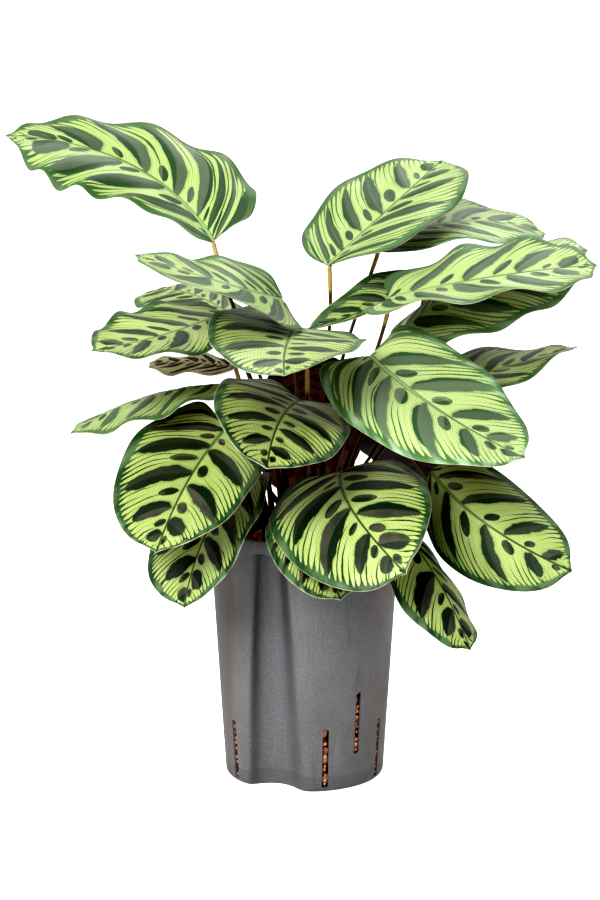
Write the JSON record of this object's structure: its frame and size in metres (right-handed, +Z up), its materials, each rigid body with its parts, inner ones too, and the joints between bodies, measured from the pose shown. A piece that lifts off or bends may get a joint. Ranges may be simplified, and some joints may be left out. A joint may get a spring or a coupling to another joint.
{
  "type": "potted calathea",
  "caption": "Patterned-leaf calathea in a tapered grey culture pot, its leaf stalks standing in clay granules.",
  "frame": {"origin": "on the floor, at the centre of the pot's flat base", "axes": "+Z up along the pot's axis, +X to the right of the picture, +Y away from its camera"},
  "size_m": [0.445, 0.3102, 0.4994],
  "materials": {
    "pot_plastic": "charcoal grey moulded plastic, matt",
    "clay": "unglazed expanded clay",
    "leaf": "satin leaf, light green with dark green marks, maroon under",
    "stalk": "red-brown leaf stalk, tan under the blade"
  },
  "bodies": {
    "root": {"pot": "pot_plastic", "granules": "clay", "blade_top_left": "leaf", "blade_top_middle": "leaf", "blade_right_upper": "leaf", "blade_right_under": "leaf", "blade_right_back": "leaf", "blade_centre_raised": "leaf", "blade_right_large": "leaf", "blade_right_far": "leaf", "blade_right_low": "leaf", "blade_bottom_right": "leaf", "blade_bottom_centre": "leaf", "blade_bottom_under": "leaf", "blade_left_low": "leaf", "blade_left_large": "leaf", "blade_centre_low": "leaf", "blade_centre_high": "leaf", "blade_left_upper": "leaf", "blade_left_middle": "leaf", "blade_left_back": "leaf", "blade_left_small": "leaf", "blade_left_long": "leaf", "blade_back_middle": "leaf", "blade_back_right": "leaf", "blade_back_left": "leaf", "stalk_top_left": "stalk", "stalk_top_middle": "stalk", "stalk_right_upper": "stalk", "stalk_right_under": "stalk", "stalk_right_back": "stalk", "stalk_centre_raised": "stalk", "stalk_right_large": "stalk", "stalk_right_far": "stalk", "stalk_right_low": "stalk", "stalk_bottom_right": "stalk", "stalk_bottom_centre": "stalk", "stalk_bottom_under": "stalk", "stalk_left_low": "stalk", "stalk_left_large": "stalk", "stalk_centre_low": "stalk", "stalk_centre_high": "stalk", "stalk_left_upper": "stalk", "stalk_left_middle": "stalk", "stalk_left_back": "stalk", "stalk_left_small": "stalk", "stalk_left_long": "stalk", "stalk_back_middle": "stalk", "stalk_back_right": "stalk", "stalk_back_left": "stalk"}
  },
  "joints": []
}
